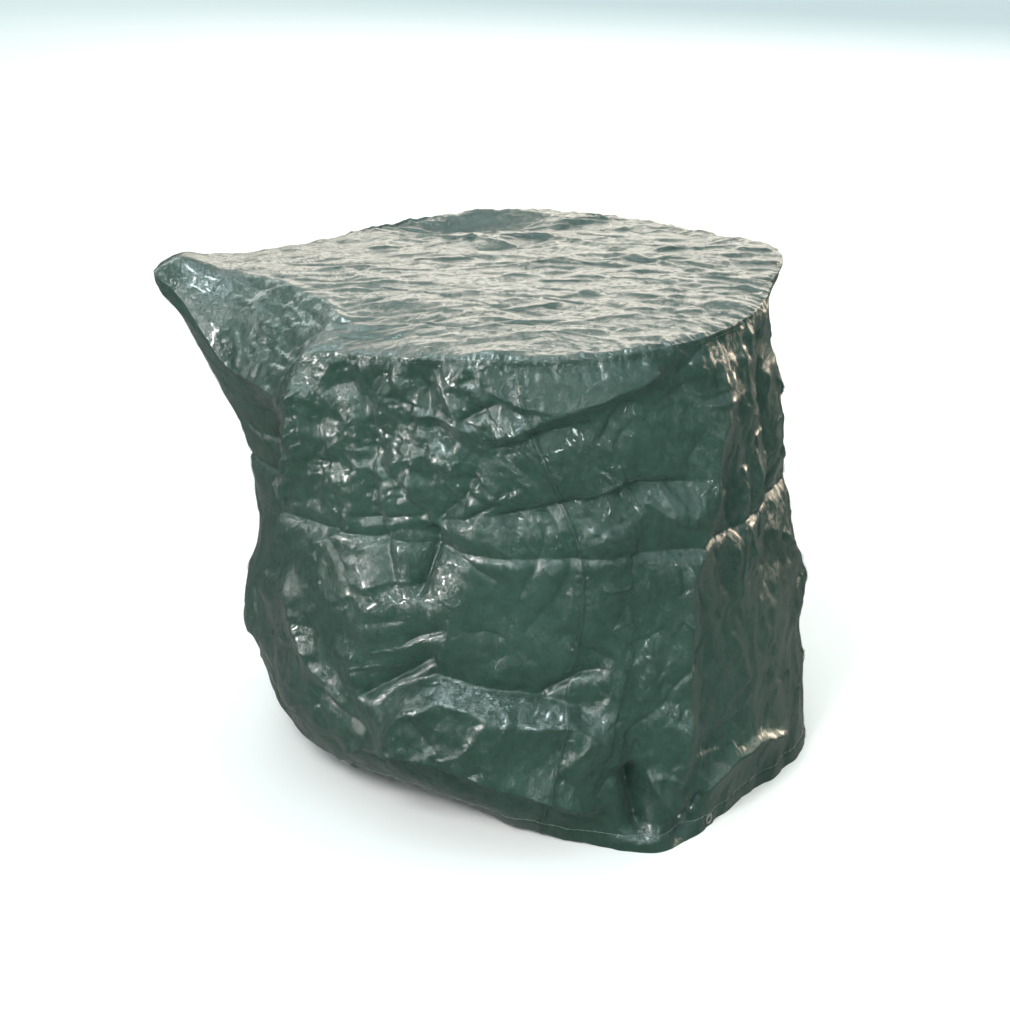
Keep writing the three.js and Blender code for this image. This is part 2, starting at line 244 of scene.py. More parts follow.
def crease_push(spots, line, reach, above, below):
    """How far one crease moves the cloth: sharp along its line, each side with its own width."""
    margin = CREASE_MARGIN * max(above, below)
    near = ((spots > line.min(axis=0) - margin) & (spots < line.max(axis=0) + margin)).all(axis=1)
    close = spots[near]
    lengths = np.linalg.norm(np.diff(line, axis=0), axis=1)
    before = np.concatenate([[0], np.cumsum(lengths)])
    nearest = np.full(len(close), 1e9)
    side = np.ones(len(close))
    along = np.zeros(len(close))
    for start, end, length, passed in zip(line[:-1], line[1:], lengths, before):
        way = (end - start) / length
        offset = close - start
        run = np.clip(offset @ way, 0, length)
        gap = offset - run[:, None] * way
        distance = np.hypot(gap[:, 0], gap[:, 1])
        closer = distance < nearest
        nearest = np.where(closer, distance, nearest)
        side = np.where(closer, np.sign(way[0] * offset[:, 1] - way[1] * offset[:, 0]), side)
        along = np.where(closer, (passed + run) / before[-1], along)
    width = np.where(side > 0, above, below)
    taper = smooth_step(along / CREASE_TAPER) * smooth_step((1 - along) / CREASE_TAPER)
    push = np.zeros(len(spots))
    push[near] = reach * taper * np.exp(-nearest / width)
    return push


def dent_push(spots, angle, height, reach, radius):
    away = spots - unrolled(np.float64(angle), np.float64(height))
    return reach * np.exp(-(away ** 2).sum(axis=-1) / radius ** 2)


def around(angle, radius, height):
    turn = np.radians(angle)
    return np.stack([AXIS_X + radius * np.cos(turn), AXIS_Y + radius * np.sin(turn), height], axis=-1)


def top_height(angle, share):
    outward = np.clip((share - 0.3) / 0.7, 0, 1)
    facet = np.clip((share - FACET_DROP["start"]) / (1 - FACET_DROP["start"]), 0, 1)
    facet = FACET_DROP["depth"] * bell(angle, FACET_DROP) * facet ** 1.15
    rest = CROWN_Z - RIM_Z + CORNER_DROP["depth"] * bell(angle, CORNER_DROP)
    rest = rest - BACK_LIP["lift"] * bell(angle, BACK_LIP)
    radius = share * wall_radius(angle, rim_z(angle))
    knob = HANDLE_LIFT["lift"] * bell(angle, dict(angle=HANDLE_ANGLE, width=HANDLE_LIFT["width"]))
    knob = knob * np.exp(-((radius - HANDLE_LIFT["radius"]) / HANDLE_LIFT["spread"]) ** 2)
    turn = np.radians(angle)
    across = (radius * np.cos(turn) - BACK_HOLLOW["x"]) / BACK_HOLLOW["half_x"]
    along = (radius * np.sin(turn) - BACK_HOLLOW["y"]) / BACK_HOLLOW["half_y"]
    hollow = BACK_HOLLOW["depth"] * np.exp(-across ** 2 - along ** 2)
    return CROWN_Z - rest * outward ** 2 - facet + knob - hollow


def wandered(angle, place):
    """The front seam doesn't hang straight: the cloth round it slides to one side on the way down."""
    slide = smooth_step((place - 1) / 0.45) - 0.6 * smooth_step((place - 1.45) / 0.55)
    return angle + SEAM_WANDER["slide"] * slide * bell(angle, SEAM_WANDER)


def cover_point(flat_turn, place):
    """Points of the smooth cover: flat_turn in degrees, place from 0 at the crown to 2 at the hem."""
    angle = wandered(flat_turn, place)
    on_top = place <= 1
    down = np.clip(place - 1, 0, 1)
    hem_z = HEM_LIFT["lift"] * bell(angle, HEM_LIFT)
    height = rim_z(angle) * (1 - down) + hem_z * down
    radius = wall_radius(angle, height)
    spots = unrolled(angle, height)
    folds = np.zeros_like(radius)
    for _, points_on_wall, reach, above, below in CREASES:
        line = np.array([unrolled(np.float64(a), np.float64(h)) for a, h in points_on_wall])
        folds += crease_push(spots, line, reach, above, below)
    for dent in DENTS:
        folds += dent_push(spots, *dent)
    radius = radius + folds * smooth_step((rim_z(angle) - height) / 0.05)
    wall = around(angle, radius, height)
    share = np.minimum(place, 1)
    top = around(angle, share * wall_radius(angle, rim_z(angle)), top_height(angle, share))
    return np.where(on_top[:, None], top, wall)


# ---------------------------------------------------------------- net of the cloth
def flat_angle(flat):
    return np.degrees(np.arctan2(flat[:, 1], flat[:, 0]))


def flat_place(angle, place):
    turn = np.radians(angle)
    return np.stack([place * np.cos(turn), place * np.sin(turn)], axis=-1)


def coarse_net(rng):
    """Uneven triangles over the flat disc, in line with the seams: returns the flat points and the faces."""
    wobble = 0.28
    on_seam = np.arange(COLUMNS) % (COLUMNS // 4) == 0
    rings = []
    for row in range(ROWS + 1):
        sideways = np.where(on_seam, 0, wobble * rng.uniform(-1, 1, COLUMNS))
        angle = SEAM_ANGLES[0] + (np.arange(COLUMNS) + sideways) * 360 / COLUMNS
        place = 1 + np.full(COLUMNS, row / ROWS)
        if 1 < row < ROWS - 2:
            place = place + wobble * rng.uniform(-1, 1, COLUMNS) / ROWS
        rings.append(flat_place(angle, place))
    faces = []
    for row in range(ROWS):
        for column in range(COLUMNS):
            after = (column + 1) % COLUMNS
            upper, upper_next = row * COLUMNS + column, row * COLUMNS + after
            lower, lower_next = upper + COLUMNS, upper_next + COLUMNS
            if rng.random() < 0.5:
                faces.append((upper, lower, upper_next))
                faces.append((upper_next, lower, lower_next))
            else:
                faces.append((upper, lower, lower_next))
                faces.append((upper, lower_next, upper_next))
    step = COARSE_CELL / RIM_RADIUS
    inner = []
    for index, y in enumerate(np.arange(-1, 1, step * 0.87)):
        x = np.arange(-1, 1, step) + (index % 2) * step / 2
        inner.append(np.stack([x, np.full_like(x, y)], axis=-1))
    inner = np.concatenate(inner)
    inner = inner + wobble * step * rng.uniform(-1, 1, inner.shape)
    inner = inner[np.hypot(inner[:, 0], inner[:, 1]) < 1 - 0.7 * step]
    disc = np.concatenate([rings[0], inner])
    result = delaunay_2d_cdt([Vector(p) for p in disc.tolist()], [], [], 0, 1e-6)
    shift = ROWS * COLUMNS
    for face in result[2]:
        faces.append(tuple(i if i < COLUMNS else i + shift for i in face))
    return np.concatenate(rings + [inner]), np.array(faces)


SPLIT_SOFTNESS = 0.15    # how far a carried field moves to its neighbours' mean


def split_net(flat, faces, *fields):
    """Each triangle becomes four. Fields of the points are carried over, smoothed a little."""
    edges = np.concatenate([faces[:, [0, 1]], faces[:, [1, 2]], faces[:, [2, 0]]])
    edges = np.sort(edges, axis=1)
    pairs, index = np.unique(edges, axis=0, return_inverse=True)
    index = index.reshape(-1)
    count = len(flat)
    first, second = pairs[:, 0], pairs[:, 1]
    place = np.hypot(flat[:, 0], flat[:, 1])
    middle = (flat[first] + flat[second]) / 2
    length = np.hypot(middle[:, 0], middle[:, 1])
    on_skirt = (place[first] > 0.999) & (place[second] > 0.999)
    wanted = np.where(on_skirt, (place[first] + place[second]) / 2, length)
    middle = middle * (wanted / np.maximum(length, 1e-9))[:, None]
    ab, bc, ca = (index.reshape(3, -1) + count)
    a, b, c = faces.T
    new_faces = np.concatenate([
        np.stack([a, ab, ca], 1), np.stack([ab, b, bc], 1),
        np.stack([ca, bc, c], 1), np.stack([ab, bc, ca], 1)])
    carried = []
    for field in fields:
        total = np.zeros_like(field)
        number = np.zeros(count)
        np.add.at(total, first, field[second])
        np.add.at(total, second, field[first])
        np.add.at(number, first, 1)
        np.add.at(number, second, 1)
        mean = total / number[:, None]
        soft = field + SPLIT_SOFTNESS * (mean - field)
        carried.append(np.concatenate([soft, (field[first] + field[second]) / 2]))
    return (np.concatenate([flat, middle]), new_faces, *carried)


def mesh_object(name, points, faces):
    mesh = bpy.data.meshes.new(name)
    mesh.from_pydata(points.tolist(), [], faces.tolist())
    mesh.update()
    piece = bpy.data.objects.new(name, mesh)
    bpy.context.scene.collection.objects.link(piece)
    return piece


def place_of(flat):
    place = np.hypot(flat[:, 0], flat[:, 1])
    return np.where(np.abs(place - 1) < 1e-4, 1, place)


def base_points(flat):
    return cover_point(flat_angle(flat), place_of(flat))


# ---------------------------------------------------------------- cloth simulation
def get_points(mesh):
    points = np.zeros(len(mesh.vertices) * 3, np.float32)
    mesh.vertices.foreach_get("co", points)
    return points.reshape(-1, 3).astype(float)


def point_normals(points, faces):
    a, b, c = points[faces.T]
    normal = np.cross(b - a, c - a)
    total = np.zeros_like(points)
    for corner in range(3):
        np.add.at(total, faces[:, corner], normal)
    return total / np.maximum(np.linalg.norm(total, axis=1), 1e-12)[:, None]


def buckle(points, faces, hold, slack, bending, frames, rng):
    """Lets the sheet buckle about its shape: hold is how firmly each point stays, slack is spare cloth."""
    start = points + point_normals(points, faces) * rng.normal(0, 0.0008, len(points))[:, None]
    piece = mesh_object("buckling_sheet", start, faces)
    group = piece.vertex_groups.new(name="hold")
    for level in np.unique(np.round(hold, 2)):
        group.add(np.nonzero(np.round(hold, 2) == level)[0].tolist(), float(level), "REPLACE")
    modifier = piece.modifiers.new("cloth", "CLOTH")
    cloth = modifier.settings
    cloth.quality = 5
    cloth.mass = 0.05
    cloth.tension_stiffness = 20
    cloth.compression_stiffness = 20
    cloth.shear_stiffness = 10
    cloth.bending_stiffness = bending
    cloth.vertex_group_mass = "hold"
    cloth.pin_stiffness = 1
    cloth.shrink_min = -slack
    cloth.effector_weights.gravity = 0
    modifier.collision_settings.use_collision = False
    modifier.point_cache.frame_start = 1
    modifier.point_cache.frame_end = frames
    for number in range(1, frames + 1):
        bpy.context.scene.frame_set(number)
    settled = piece.evaluated_get(bpy.context.evaluated_depsgraph_get())
    result = get_points(settled.data)
    bpy.data.objects.remove(piece)
    bpy.context.scene.frame_set(1)
    return result


# ---------------------------------------------------------------- crumple
FACET_CURVE = 1.0        # how much each facet bends between its creases


def facets(spots, cell, seed, around=None):
    """Facets that meet in sharp valleys, with slopes near 1. around is the length after which they repeat.

    Only the nearest cells are searched, so the surface jumps a little at the edges of some cells.
    """
    rng = np.random.default_rng(seed)
    table = 4096
    shift = rng.uniform(0, 1, (table, 2))
    slope = rng.normal(size=(table, 2))
    slope /= np.linalg.norm(slope, axis=1)[:, None]
    columns = 100003 if around is None else round(around / cell)
    size = np.array([cell if around is None else around / columns, cell])
    grid = np.floor(spots / size).astype(np.int64)
    best = np.full(len(spots), -1e9)
    for right in (-1, 0, 1):
        for up in (-1, 0, 1):
            here = grid + (right, up)
            key = (np.mod(here[:, 0], columns) * 7919 + here[:, 1] * 104729) % table
            away = spots - (here + shift[key]) * size
            height = (away * slope[key]).sum(axis=1) - FACET_CURVE * (away ** 2).sum(axis=1) / cell
            best = np.maximum(best, height)
    return best - best.mean()


def crumple(spots, sizes, seed, around=None):
    """Valleys of some facets and ridges of others, one pair for each size of facet."""
    total = np.zeros(len(spots))
    for index, (cell, slope) in enumerate(sizes):
        total += slope * facets(spots, cell, seed + index, around)
        total -= slope * facets(spots + 0.37 * cell, cell * 1.13, seed + 50 + index, around)
    return total


WALL_CRUMPLE = [(0.110, 0.14), (0.045, 0.13), (0.020, 0.07)]
TOP_CRUMPLE = [(0.060, 0.028), (0.027, 0.034), (0.013, 0.038)]
FACET_CRUMPLE = [(0.080, 0.16), (0.032, 0.20), (0.015, 0.16)]
WALL_STRETCH = 1.5       # wrinkles of the wall run longer upwards
TOP_STRETCH = 2.6        # wrinkles of the top run longer from side to side
CALM = 0.36              # share of the crumple where the cloth lies smoothest


def stray_creases(spots, areas, seed):
    """Short straight creases at random places: areas say how many, where, which way and how deep."""
    rng = np.random.default_rng(seed)
    total = np.zeros(len(spots))
    for area in areas:
        for _ in range(area["count"]):
            middle = rng.uniform(area["low"], area["high"])
            way = math.radians(rng.normal(area["slant"], area["spread"]))
            half = rng.uniform(*area["half_length"])
            step = half * np.array([math.cos(way), math.sin(way)])
            bend = 0.15 * half * rng.normal() * np.array([-math.sin(way), math.cos(way)])
            narrow = rng.uniform(0.0035, 0.007)
            wide = narrow * rng.uniform(2, 5)
            flip = rng.random() < 0.5
            reach = rng.choice((-1, 1)) * rng.uniform(*area["reach"])
            above, below = (wide, narrow) if flip else (narrow, wide)
            line = np.array([middle - step, middle + bend, middle + step])
            total += crease_push(spots, line, reach, above, below)
    return total


HALF_ROUND = math.pi * (RIM_RADIUS + HEM_RADIUS) / 2
WALL_STRAYS = [
    dict(count=150, low=(-HALF_ROUND, 0.10), high=(HALF_ROUND, 0.95), slant=12, spread=22,
         half_length=(0.03, 0.11), reach=(0.0025, 0.0065)),
    dict(count=110, low=(-HALF_ROUND, 0.10), high=(HALF_ROUND, 0.92), slant=100, spread=25,
         half_length=(0.03, 0.10), reach=(0.0025, 0.0060)),
    dict(count=120, low=(-0.55, 0.66), high=(-0.08, 0.94), slant=86, spread=24, half_length=(0.010, 0.040),
         reach=(0.0025, 0.0060)),
    dict(count=160, low=(-0.80, 0.08), high=(0.60, 0.94), slant=20, spread=60, half_length=(0.015, 0.050),
         reach=(0.0014, 0.0036)),
    dict(count=40, low=(0.42, 0.45), high=(0.80, 0.95), slant=98, spread=14, half_length=(0.03, 0.09),
         reach=(0.0035, 0.0080)),
]
TOP_STRAYS = [
    dict(count=260, low=(-0.60, -0.47), high=(0.50, 0.47), slant=0, spread=13, half_length=(0.03, 0.14),
         reach=(0.0014, 0.0042)),
    dict(count=60, low=(-0.60, -0.47), high=(0.50, 0.47), slant=25, spread=30, half_length=(0.02, 0.06),
         reach=(0.0010, 0.0026)),
]


def crumple_gain(spots):
    gain = np.full(len(spots), CALM)
    for angle, height, spread_around, spread_up, added in CRUMPLED:
        away = (spots - unrolled(np.float64(angle), np.float64(height))) / (spread_around, spread_up)
        gain += added * np.exp(-(away ** 2).sum(axis=1))
    return gain


def seam_puckers(spots, seam, width):
    """Sewing pulls the cloth in along a line and puckers it: spots are (along the line, away from it)."""
    close = np.exp(-(spots[:, 1] / width) ** 2)
    waves = np.sin(spots[:, 0] * 430 + seam) + 0.7 * np.sin(spots[:, 0] * 271 + 2 * seam)
    return close * (0.0007 * waves - 0.0009)


BUCKLE_KEPT = 0.36       # share of the simulated buckling that stays on the skirt
BUCKLE_KEPT_ON_TOP = 0.22


def kept(moved, flat):
    """How much of the buckling stays: less on top, where the grill's lid holds the cloth flat."""
    share = smooth_step((place_of(flat) - 0.9) / 0.2)
    return moved * (BUCKLE_KEPT_ON_TOP + (BUCKLE_KEPT - BUCKLE_KEPT_ON_TOP) * share)[:, None]


# Waves of the rim, as (how many round the cover, size), and how far its edge is rounded off
RIM_WAVES = [(23, 0.0012), (41, 0.0011), (67, 0.0009), (104, 0.0007), (171, 0.0005)]
RIM_ROUND = 0.0045
RIM_REACH = 0.05         # how far from the rim its waves move the wall and the top


def fine_moves(flat, points):
    """Moves of the finest net: crumple, seams and the hem's stitched edge."""
    angle = flat_angle(flat)
    place = place_of(flat)
    height = RIM_Z * np.clip(2 - place, 0, 1)
    around = math.pi * (RIM_RADIUS + HEM_RADIUS)
    spots = unrolled(angle, height)
    below_rim = RIM_Z - height
    tall = spots / (1, WALL_STRETCH)
    wall = crumple(tall, WALL_CRUMPLE, 100, around) * crumple_gain(spots)
    wall = wall + stray_creases(spots, WALL_STRAYS, 7)
    wall = wall * smooth_step(below_rim / 0.02)
    for number, seam in enumerate(SEAM_ANGLES):
        sideways = np.radians(turn_from(angle, seam)) * (RIM_RADIUS + HEM_RADIUS) / 2
        ridge = 0.0016 * np.exp(-(sideways / 0.005) ** 2)
        step = 0.0007 * (np.abs(sideways) < 0.012)
        wall += ridge + step + seam_puckers(np.stack([height, np.abs(sideways) - 0.009], -1), number, 0.004)
    stitched = height - HEM_STITCH
    hem_puckers = seam_puckers(np.stack([spots[:, 0], stitched], -1), 5, 0.005)
    wall += 0.0010 * smooth_step(-stitched / 0.003) + hem_puckers
    rim_stitch = below_rim - RIM_STITCH
    wall += seam_puckers(np.stack([spots[:, 0], rim_stitch], -1), 9, 0.005) * smooth_step(below_rim / 0.004)
    turn = np.radians(angle)
    outwards = np.stack([np.cos(turn), np.sin(turn), np.zeros(len(turn))], -1)
    share = np.minimum(place, 1)
    from_rim = (1 - share) * RIM_RADIUS
    wave = sum(size * np.sin(count * turn + count) for count, size in RIM_WAVES)
    wall += (wave - RIM_ROUND * np.exp(-below_rim / 0.010)) * np.exp(-(below_rim / RIM_REACH) ** 2)
    sink = (0.7 * wave - RIM_ROUND * np.exp(-from_rim / 0.010)) * np.exp(-(from_rim / RIM_REACH) ** 2)
    across = points[:, 0] + 0.25 * points[:, 1]
    long_way = np.stack([across / TOP_STRETCH, points[:, 1]], -1)
    slant = np.stack([(points[:, 0] - 0.5 * points[:, 1]) / TOP_STRETCH, points[:, 1]], -1)
    top = crumple(long_way, TOP_CRUMPLE, 300) + crumple(slant, TOP_CRUMPLE[:2], 400)
    facet = bell(angle, FACET_DROP) * smooth_step((share - 0.70) / 0.12)
    top += facet * crumple(points[:, :2] + points[:, 2:], FACET_CRUMPLE, 600)
    top += stray_creases(points[:, :2] - (AXIS_X, AXIS_Y), TOP_STRAYS, 8)
    top = top * smooth_step(from_rim / 0.012)
    top += seam_puckers(np.stack([spots[:, 0], from_rim - 0.006], -1), 3, 0.005) * (from_rim > 0.0005)
    up = np.array([0, 0, 1.0])
    sunk = (0.7 * wave - RIM_ROUND)[:, None] * up * np.exp(-(below_rim / 0.03) ** 2)[:, None]
    drawn_in = (wave - RIM_ROUND)[:, None] * outwards * np.exp(-(from_rim / 0.03) ** 2)[:, None]
    wall_move = wall[:, None] * outwards + sunk
    top_move = (top + sink)[:, None] * up + drawn_in
    return np.where((place > 1)[:, None], wall_move, top_move)


HEM_STITCH = RIM_Z / ROWS * 10 / FINEST       # height of the hem's stitching: on a row of the finest net
RIM_STITCH = RIM_Z / ROWS * 3 / FINEST        # how far below the rim its stitching runs

rng = np.random.default_rng(11)
flat, faces = coarse_net(rng)
moved = np.zeros((len(flat), 3))
base = base_points(flat)
moved = buckle(base, faces, np.full(len(flat), 0.25), 0.03, 2, 25, rng) - base
flat, faces, moved = split_net(flat, faces, moved)
base = base_points(flat) + moved
moved = moved + buckle(base, faces, np.full(len(flat), 0.4), 0.012, 0.5, 20, rng) - base
flat, faces, moved = split_net(flat, faces, moved)
flat, faces, moved = split_net(flat, faces, moved)
points = base_points(flat)
points = points + kept(moved, flat) + fine_moves(flat, points)

angles = flat_angle(flat)
places = place_of(flat)
centres = flat[faces].mean(axis=1)
face_place = places[faces]
on_skirt = face_place.max(axis=1) > 1
face_panel = (np.mod(flat_angle(centres) - SEAM_ANGLES[0], 360) // 90).astype(int)


# ---------------------------------------------------------------- eyelets, seated in the cloth
def ring_shape(name, profile, sides=48):
    """Turned ring about Z from a closed profile of (radius, height)."""
    turns = np.arange(sides) * 2 * math.pi / sides
    radius = np.array([p[0] for p in profile])
    height = np.array([p[1] for p in profile])
    rings = np.stack([np.outer(np.cos(turns), radius), np.outer(np.sin(turns), radius),
                      np.tile(height, (sides, 1))], -1).reshape(-1, 3)
    count = len(profile)
    quads = []
    for side in range(sides):
        here, there = side * count, (side + 1) % sides * count
        for index in range(count):
            after = (index + 1) % count
            quads.append((here + index, there + index, there + after, here + after))
    return rings, quads


def turned_into(points, centre, normal):
    """Moves points made about Z so that Z becomes the normal."""
    side = np.cross((0, 0, 1), normal)
    side /= np.linalg.norm(side)
    up = np.cross(normal, side)
    return centre + points[:, :1] * side + points[:, 1:2] * up + points[:, 2:3] * normal


# Closed profiles in millimetres, as (radius, height over the cloth)
EYELET = [(5.6, -2.6), (5.5, 0.2), (5.7, 0.8), (6.3, 1.15), (7.2, 1.2), (8.6, 0.95), (9.8, 0.55), (10.6, 0.2),
          (10.8, -0.05), (10.6, -0.15), (9.6, 0.15), (7.2, 0.5), (6.3, 0.2), (6.1, -2.6)]
WASHER = [(6.3, -2.1), (7.0, -2.5), (8.8, -2.6), (10.2, -2.3), (10.6, -1.9), (10.2, -1.8), (8.6, -2.1),
          (7.0, -2.0)]


class Nodes:
    """Short way to add linked shader nodes to one material."""

    def __init__(self, name):
        self.material = bpy.data.materials.new(name)
        self.material.use_nodes = True
        self.tree = self.material.node_tree
        self.shader = self.tree.nodes["Principled BSDF"]

    def add(self, kind, settings=None, **inputs):
        node = self.tree.nodes.new(kind)
        for key, value in (settings or {}).items():
            setattr(node, key, value)
        for key, value in inputs.items():
            numbered = key[0] == "i" and key[1:].isdigit()
            self.put(node, int(key[1:]) if numbered else key.replace("_", " "), value)
        return node

    def put(self, node, key, value):
        socket = node.inputs[key]
        if isinstance(value, bpy.types.NodeSocket):
            self.tree.links.new(value, socket)
        else:
            socket.default_value = value

    def math(self, operation, first, second=0.0):
        return self.add("ShaderNodeMath", dict(operation=operation), i0=first, i1=second).outputs[0]

    def vector(self, operation, *values):
        inputs = {f"i{index}": value for index, value in enumerate(values)}
        return self.add("ShaderNodeVectorMath", dict(operation=operation), **inputs)

    def noise(self, vector, scale, detail=4.0, rough=0.55):
        node = self.add("ShaderNodeTexNoise", None, Vector=vector, Scale=scale, Detail=detail,
                        Roughness=rough)
        return node.outputs["Fac"]

    def ramp(self, value, *stops):
        node = self.add("ShaderNodeValToRGB", None, Fac=value)
        elements = node.color_ramp.elements
        while len(elements) < len(stops):
            elements.new(0.5)
        for element, (position, color) in zip(elements, stops):
            element.position = position
            element.color = (*color, 1)
        return node.outputs["Color"]


def metal_material():
    n = Nodes("eyelet_metal")
    where = n.add("ShaderNodeTexCoord").outputs["Object"]
    stain = n.noise(where, 260.0, 5.0)
    n.put(n.shader, "Base Color", n.ramp(stain, (0.35, (0.62, 0.61, 0.59)), (0.65, (0.88, 0.87, 0.85))))
    n.put(n.shader, "Roughness", n.math("ADD", n.math("MULTIPLY", n.noise(where, 700.0, 3.0), 0.35), 0.30))
    fine_noise = n.noise(where, 1800.0, 3.0)
    scratches = n.add("ShaderNodeBump", None, Height=fine_noise, Distance=0.0002, Strength=0.25)
    n.put(n.shader, "Normal", scratches.outputs[0])
    n.shader.inputs["Metallic"].default_value = 1.0
    return n.material


metal = metal_material()
hole_faces = np.zeros(len(faces), bool)
for name in PANELS:
    low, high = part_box("eyelet_" + name)
    middle = (low + high) / 2
    angle = math.degrees(math.atan2(middle.y - AXIS_Y, middle.x - AXIS_X))
    spots = unrolled(angles, RIM_Z * (2 - places)) - unrolled(np.float64(angle), np.float64(middle.z))
    away = np.where(places > 1.5, np.linalg.norm(spots, axis=1), 1e9)
    seat = away < 0.012
    centre = points[seat].mean(axis=0)
    normal = np.linalg.svd(points[seat] - centre, full_matrices=False)[2][2]
    normal *= np.sign(normal @ np.array([math.cos(math.radians(angle)), math.sin(math.radians(angle)), 0]))
    wide = away < 0.024
    depth = (points[wide] - centre) @ normal
    flatter = smooth_step((0.024 - away[wide]) / 0.010)
    points[wide] -= (flatter * depth)[:, None] * normal
    reach = np.linalg.norm(points[faces].mean(axis=1) - centre, axis=1)
    hole_faces |= (reach < 0.0078) & on_skirt
    for kind, profile, cad_kind in (
            ("eyelet_ring_", EYELET, "eyelet_"), ("eyelet_back_", WASHER, "eyelet_washer_")):
        rings, quads = ring_shape(kind, profile)
        seated = turned_into(rings / 1000, centre + normal * 0.0004, normal)
        piece = mesh_object(kind + name, seated, np.array(quads))
        piece.data.shade_smooth()
        piece.data.materials.append(metal)
        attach(piece, "root")
        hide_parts(cad_kind + name)


# ---------------------------------------------------------------- materials
FACET_LEAN = 0.55        # slope of the smallest facets, under a centimetre
TAPE_WIDTH = 0.0027      # of the woven tapes under the coating
# Pale grey-green colour of painted glints: specks in the base colour that stand in for the sparkle of the
# woven tapes
PAINTED_GLINT_SPECK = (0.16, 0.21, 0.18, 1)


def cloth_material(name, dark, light, gloss=1.0):
    n = Nodes(name)
    where = n.add("ShaderNodeTexCoord").outputs["Object"]
    sheet = n.add("ShaderNodeUVMap", dict(uv_map="sheet")).outputs["UV"]
    split = n.add("ShaderNodeSeparateXYZ", None, Vector=sheet)
    broad = n.noise(where, 3.0, 3.0)
    blotch = n.noise(where, 45.0, 5.0)
    tone = n.math("ADD", n.math("MULTIPLY", broad, 0.55), n.math("MULTIPLY", blotch, 0.45))
    warp = n.math("ABSOLUTE", n.math("SINE", n.math("MULTIPLY", split.outputs["X"], math.pi / TAPE_WIDTH)))
    weft = n.math("ABSOLUTE", n.math("SINE", n.math("MULTIPLY", split.outputs["Y"], math.pi / TAPE_WIDTH)))
    checks = n.add("ShaderNodeTexChecker", None, Vector=sheet, Scale=1 / TAPE_WIDTH).outputs["Fac"]
    woven = n.add("ShaderNodeMix", dict(data_type="FLOAT"), i0=checks, i2=warp, i3=weft).outputs[0]
    body = n.ramp(tone, (0.32, dark), (0.68, light))
    # Painted glints: where fine noise is high, small pale specks are mixed into the base colour at 0.3
    painted_glint_share = n.math("MULTIPLY", n.math("GREATER_THAN", n.noise(where, 420.0, 3.0, 0.7), 0.68), 0.30)
    painted_glint_mix = n.add("ShaderNodeMix", dict(data_type="RGBA"), i0=painted_glint_share, i6=body, i7=PAINTED_GLINT_SPECK)
    n.put(n.shader, "Base Color", painted_glint_mix.outputs[2])
    rough = n.add("ShaderNodeMapRange", None, Value=n.noise(where, 55.0, 4.0), From_Min=0.3, From_Max=0.7,
                  To_Min=0.13 / gloss, To_Max=0.26 / gloss).outputs[0]
    n.put(n.shader, "Roughness", rough)
    crinkle = n.noise(where, 170.0, 5.0, 0.62)
    bent = n.vector("MULTIPLY_ADD", n.noise(where, 30.0, 2.0), (0.02, 0.02, 0.02), where).outputs[0]
    long_way = n.vector("MULTIPLY", bent, (1.0, 1.0, 0.45)).outputs[0]
    cells = n.add("ShaderNodeTexVoronoi", None, Vector=long_way, Scale=130.0, Randomness=1.0)
    offset = n.vector("SUBTRACT", long_way, cells.outputs["Position"])
    lean = n.vector("SUBTRACT", cells.outputs["Color"], (0.5, 0.5, 0.5))
    plane = n.vector("DOT_PRODUCT", offset.outputs[0], lean.outputs[0])
    small = n.math("MULTIPLY", plane.outputs["Value"], FACET_LEAN)
    height = n.math("ADD", n.math("MULTIPLY", crinkle, 0.0026), small)
    coarse = n.add("ShaderNodeBump", None, Height=height, Distance=1.0, Strength=0.6)
    fine = n.add("ShaderNodeBump", None, Height=woven, Distance=0.0003, Strength=0.55,
                 Normal=coarse.outputs[0])
    n.put(n.shader, "Normal", fine.outputs[0])
    n.shader.inputs["IOR"].default_value = 1.5
    n.shader.inputs["Coat Weight"].default_value = 0.25 * gloss
    n.shader.inputs["Coat Roughness"].default_value = 0.08
    n.shader.inputs["Sheen Weight"].default_value = 0.05
    return n.material


def thread_material(name, dark, light):
    n = Nodes(name)
    where = n.add("ShaderNodeTexCoord").outputs["Object"]
    twist = n.add("ShaderNodeTexWave", dict(bands_direction="DIAGONAL"), Vector=where, Scale=900.0,
                  Distortion=2.0)
    n.put(n.shader, "Base Color", n.ramp(n.noise(where, 300.0), (0.35, dark), (0.7, light)))
    strands = n.add("ShaderNodeBump", None, Height=twist.outputs["Fac"], Distance=0.0003)
    n.put(n.shader, "Normal", strands.outputs[0])
    n.put(n.shader, "Roughness", n.math("ADD", n.math("MULTIPLY", n.noise(where, 900.0), 0.3), 0.4))
    return n.material


cover_cloth = cloth_material("cover_cloth", (0.0100, 0.0300, 0.0212), (0.024, 0.058, 0.044))
inner_cloth = cloth_material("seam_tape", (0.014, 0.036, 0.027), (0.025, 0.058, 0.045), 0.8)
pale_thread = thread_material("stitching", (0.17, 0.22, 0.19), (0.33, 0.40, 0.35))
green_thread = thread_material("seam_stitching", (0.014, 0.034, 0.026), (0.035, 0.070, 0.055))


